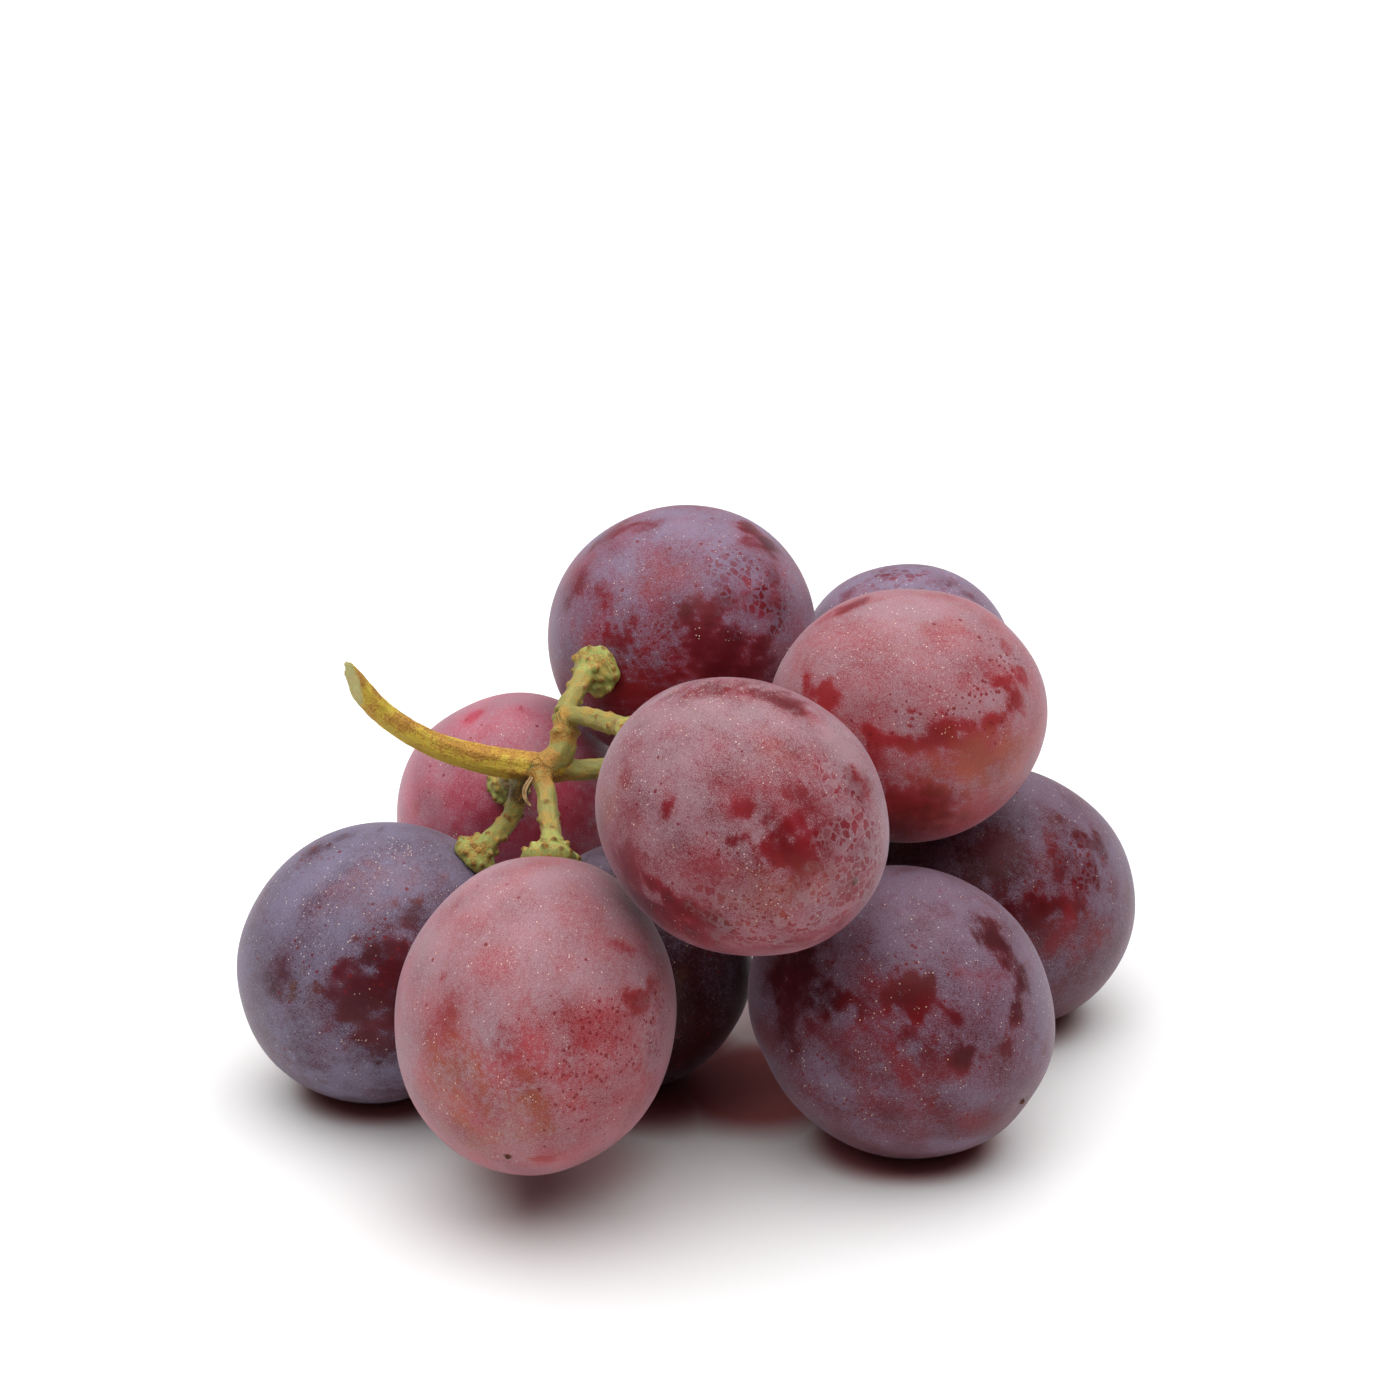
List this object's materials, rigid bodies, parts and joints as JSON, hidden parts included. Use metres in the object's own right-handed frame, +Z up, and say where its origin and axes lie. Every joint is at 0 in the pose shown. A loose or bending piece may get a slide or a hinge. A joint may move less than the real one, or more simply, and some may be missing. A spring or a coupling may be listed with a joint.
{
  "type": "bunch of grapes",
  "caption": "Small bunch of dark red table grapes lying on its berries, on a branched green stalk with warty berry cups and an obliquely cut stem end.",
  "frame": {"origin": "on the surface that the bunch lies on, under the middle of the bunch", "axes": "+Z up; +X to the right with the cut stem end at the left; +Y away from the front, where the centre berry and the front berries are"},
  "size_m": [0.0826, 0.0797, 0.047],
  "materials": {
    "stalk": "green to olive-yellow grown stalk with russet patches and brown-tipped warts",
    "skin_red": "red to pink grape skin, glossy under a thin waxy bloom",
    "skin_purple": "purple-grey grape skin under a thick waxy bloom",
    "skin_dark": "dark wine-red grape skin with patchy bloom"
  },
  "bodies": {
    "root": {"stalk": "stalk", "berry_centre": "skin_red", "berry_top": "skin_purple", "berry_upper_right": "skin_red", "berry_back_right": "skin_purple", "berry_right_end": "skin_dark", "berry_front_right": "skin_dark", "berry_low_middle": "skin_dark", "berry_front_left": "skin_red", "berry_left": "skin_purple", "berry_back_left": "skin_red"}
  },
  "joints": []
}
